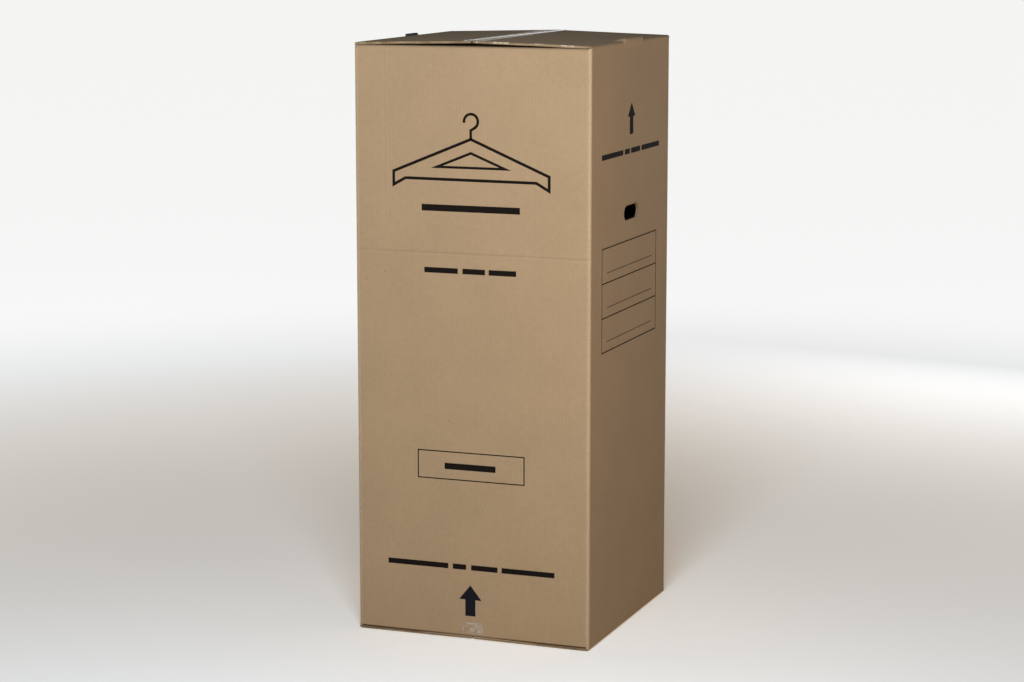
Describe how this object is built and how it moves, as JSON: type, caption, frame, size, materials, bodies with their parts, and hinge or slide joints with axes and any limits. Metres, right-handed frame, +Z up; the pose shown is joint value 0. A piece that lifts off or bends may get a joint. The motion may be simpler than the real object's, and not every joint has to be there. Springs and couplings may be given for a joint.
{
  "type": "wardrobe moving box",
  "caption": "Tall square corrugated moving box for hanging clothes, closed and taped, with hand holes in its sides and a moulded hanger rail hooked over its side folds.",
  "frame": {"origin": "middle of the base, on the floor", "axes": "+X to the right along the front, +Y from the front to the back, +Z up"},
  "size_m": [0.5, 0.5012, 1.2106],
  "materials": {
    "corrugated_board": "matt brown kraft liner over a corrugated core",
    "clear_tape": "clear glossy film",
    "black_plastic": "moulded, satin"
  },
  "bodies": {
    "root": {"carton": "corrugated_board", "tape_top": "clear_tape", "tape_bottom": "clear_tape", "hanging_rail": "black_plastic"}
  },
  "joints": []
}
